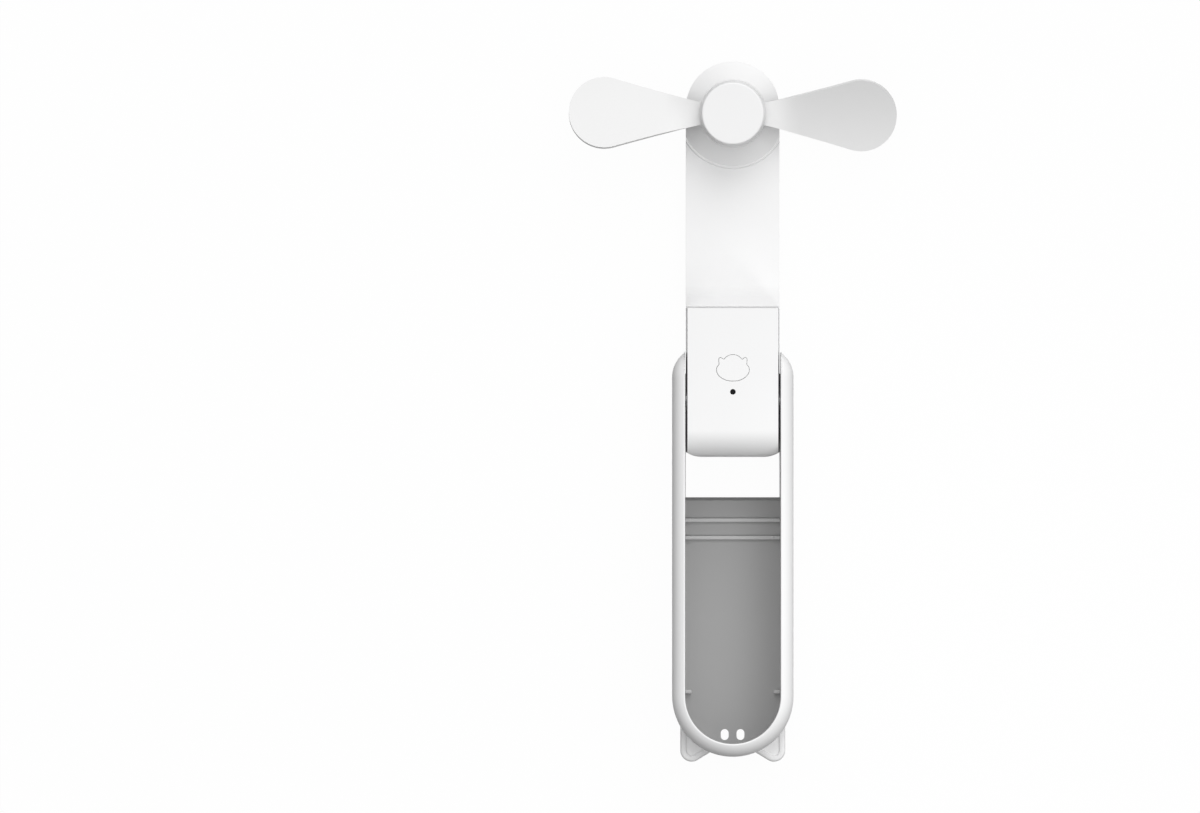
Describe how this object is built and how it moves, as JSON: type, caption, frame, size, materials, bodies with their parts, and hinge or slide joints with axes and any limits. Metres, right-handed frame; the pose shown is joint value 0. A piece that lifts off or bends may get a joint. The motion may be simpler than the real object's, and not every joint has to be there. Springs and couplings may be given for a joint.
{
  "type": "power bank fan",
  "caption": "Folding pocket fan with pointed ears: a rounded body with a stowage bay, a hinged battery arm with a motor dome, and a hub with folding soft blades.",
  "frame": {"origin": "centre of the opened fan's footprint, on the plane of its back", "axes": "+X to the right across the body, +Y from the ears along the opened arm to the rotor, +Z out of the bay and the rotor's front"},
  "size_m": [0.1164, 0.2485, 0.032],
  "materials": {
    "white_shell": "white moulded plastic with a fine satin texture",
    "soft_white": "soft white flexible plastic",
    "grey_liner": "mid grey moulded plastic, matt",
    "black_plastic": "black plastic",
    "circuit_board": "green solder resist",
    "steel": "plated steel",
    "brass": "turned brass",
    "copper_winding": "enamelled copper wire",
    "cell_foil": "pouch foil",
    "foam": "black foam",
    "clear_lens": "clear plastic",
    "red_wire": "red wire insulation",
    "black_wire": "black wire insulation"
  },
  "bodies": {
    "body": {"body_shell": "white_shell", "bay_liner": "grey_liner", "hinge_bushing_left": "black_plastic", "hinge_bushing_right": "black_plastic"},
    "arm": {"arm_cover": "white_shell", "arm_housing": "white_shell", "hinge_pin_left": "steel", "hinge_pin_right": "steel", "friction_washer_left": "steel", "friction_washer_right": "steel", "control_board": "circuit_board", "board_screw_left": "steel", "board_screw_right": "steel", "tact_switch": "black_plastic", "indicator_led": "clear_lens", "indicator_window": "black_plastic", "port_board": "circuit_board", "usb_output_shell": "steel", "usb_output_tongue": "soft_white", "charging_port_shell": "steel", "charging_port_tongue": "black_plastic", "flashlight_lens": "clear_lens", "flashlight_led": "clear_lens", "battery_pad": "foam", "battery_cell_lower": "cell_foil", "battery_cell_upper": "cell_foil", "motor_wire_left": "black_wire", "motor_wire_right": "red_wire", "battery_wire_left": "black_wire", "battery_wire_right": "red_wire", "motor_can": "steel", "motor_screw_left": "steel", "motor_screw_right": "steel", "motor_end_plate": "black_plastic", "motor_bushing": "brass"},
    "button": {"power_button": "white_shell"},
    "rotor": {"motor_armature": "copper_winding", "motor_shaft": "steel", "hub_base": "white_shell", "hub_cap": "white_shell", "blade_pin_left": "steel", "blade_pin_right": "steel"},
    "blade_right_body": {"blade_right": "soft_white"},
    "blade_left_body": {"blade_left": "soft_white"}
  },
  "joints": [
    {"name": "arm_fold", "type": "hinge", "parent": "body", "child": "arm", "pos_m": [0, 0.00335, 0.016], "axis": [1, 0, 0], "range_deg": [0, 180], "deforming": ["blade_right", "blade_left"]},
    {"name": "power_button_press", "type": "slide", "parent": "arm", "child": "button", "axis": [0, 0, -1], "range_m": [0, 0.0005], "stiffness_N_per_m": 2000, "springref_m": -0.0003},
    {"name": "rotor_spin", "type": "hinge", "parent": "arm", "child": "rotor", "pos_m": [0, 0.10565, 0.01755], "axis": [0, 0, 1], "continuous": true},
    {"name": "blade_right_fold", "type": "hinge", "parent": "rotor", "child": "blade_right_body", "pos_m": [0.006, 0.10565, 0.01755], "axis": [0, 0, -1], "range_deg": [0, 94]},
    {"name": "blade_left_fold", "type": "hinge", "parent": "rotor", "child": "blade_left_body", "pos_m": [-0.006, 0.10565, 0.01755], "axis": [0, 0, 1], "range_deg": [0, 94]}
  ],
  "couplings": [
    {"joint": "blade_right_fold", "follows": "arm_fold", "ratio": 0.5222},
    {"joint": "blade_left_fold", "follows": "arm_fold", "ratio": 0.5222}
  ]
}
